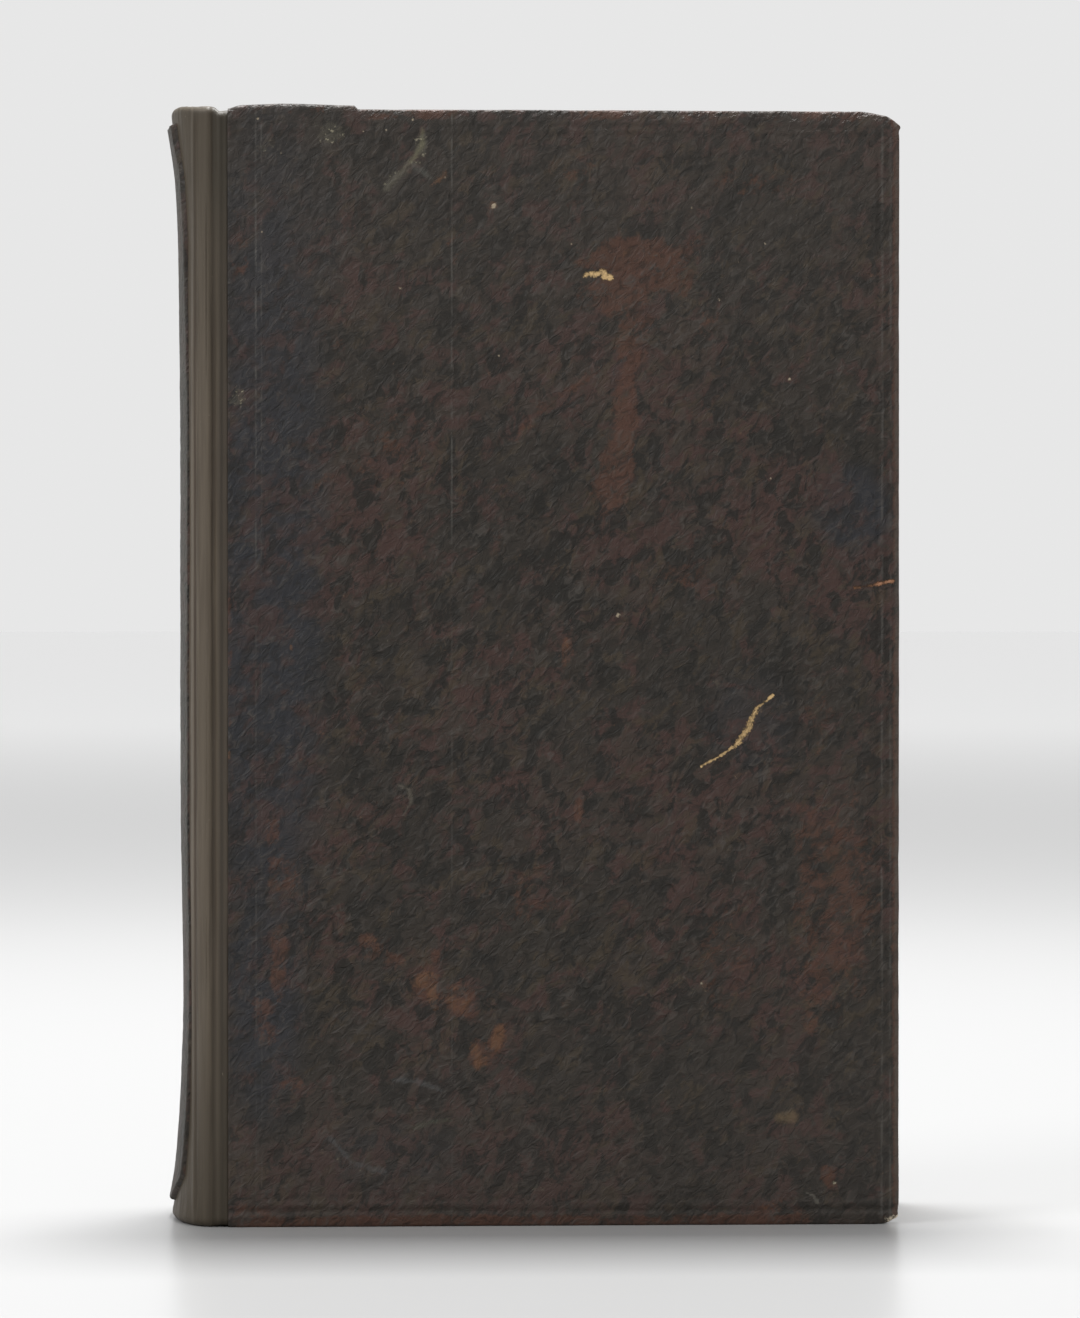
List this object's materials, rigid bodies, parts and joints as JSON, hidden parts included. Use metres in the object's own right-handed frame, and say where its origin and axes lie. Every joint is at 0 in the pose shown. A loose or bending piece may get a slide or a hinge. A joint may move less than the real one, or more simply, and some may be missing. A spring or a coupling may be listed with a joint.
{
  "type": "hardback book",
  "caption": "Old full-leather hardback book with a rebacked rounded spine, standing upright, with front and rear covers that open.",
  "frame": {"origin": "middle of the underside of the bounding box of the closed book standing on its tail edge", "axes": "+Z from tail to head, +X from spine to fore-edge, -Y out of the front cover"},
  "size_m": [0.1318, 0.0326, 0.2006],
  "materials": {
    "old_leather": "worn dark brown calf, grained",
    "new_leather": "smooth mid-brown calf of the repair",
    "pages": "aged page edges",
    "endpapers": "aged laid paper",
    "boards": "raw pasteboard",
    "spine_paper": "glued lining",
    "cord": "twisted hemp",
    "silk": "sewn endband thread"
  },
  "bodies": {
    "root": {"text_block": "pages", "sewing_cords": "cord", "spine_lining": "spine_paper", "head_band": "silk", "tail_band": "silk", "spine_leather": "new_leather", "old_spine_panel": "old_leather", "front_flyleaf": "endpapers", "rear_flyleaf": "endpapers"},
    "front_cover": {"front_board": "boards", "front_cover_leather": "old_leather", "front_joint_leather": "new_leather", "front_pastedown": "endpapers"},
    "rear_cover": {"rear_board": "boards", "rear_cover_leather": "old_leather", "rear_joint_leather": "new_leather", "rear_pastedown": "endpapers"}
  },
  "joints": [
    {"name": "front_cover_hinge", "type": "hinge", "parent": "root", "child": "front_cover", "pos_m": [-0.05709, -0.0163, 0.1], "axis": [0, 0, -1], "range_deg": [0, 170]},
    {"name": "rear_cover_hinge", "type": "hinge", "parent": "root", "child": "rear_cover", "pos_m": [-0.05709, 0.0163, 0.1], "axis": [0, 0, 1], "range_deg": [0, 170]}
  ]
}
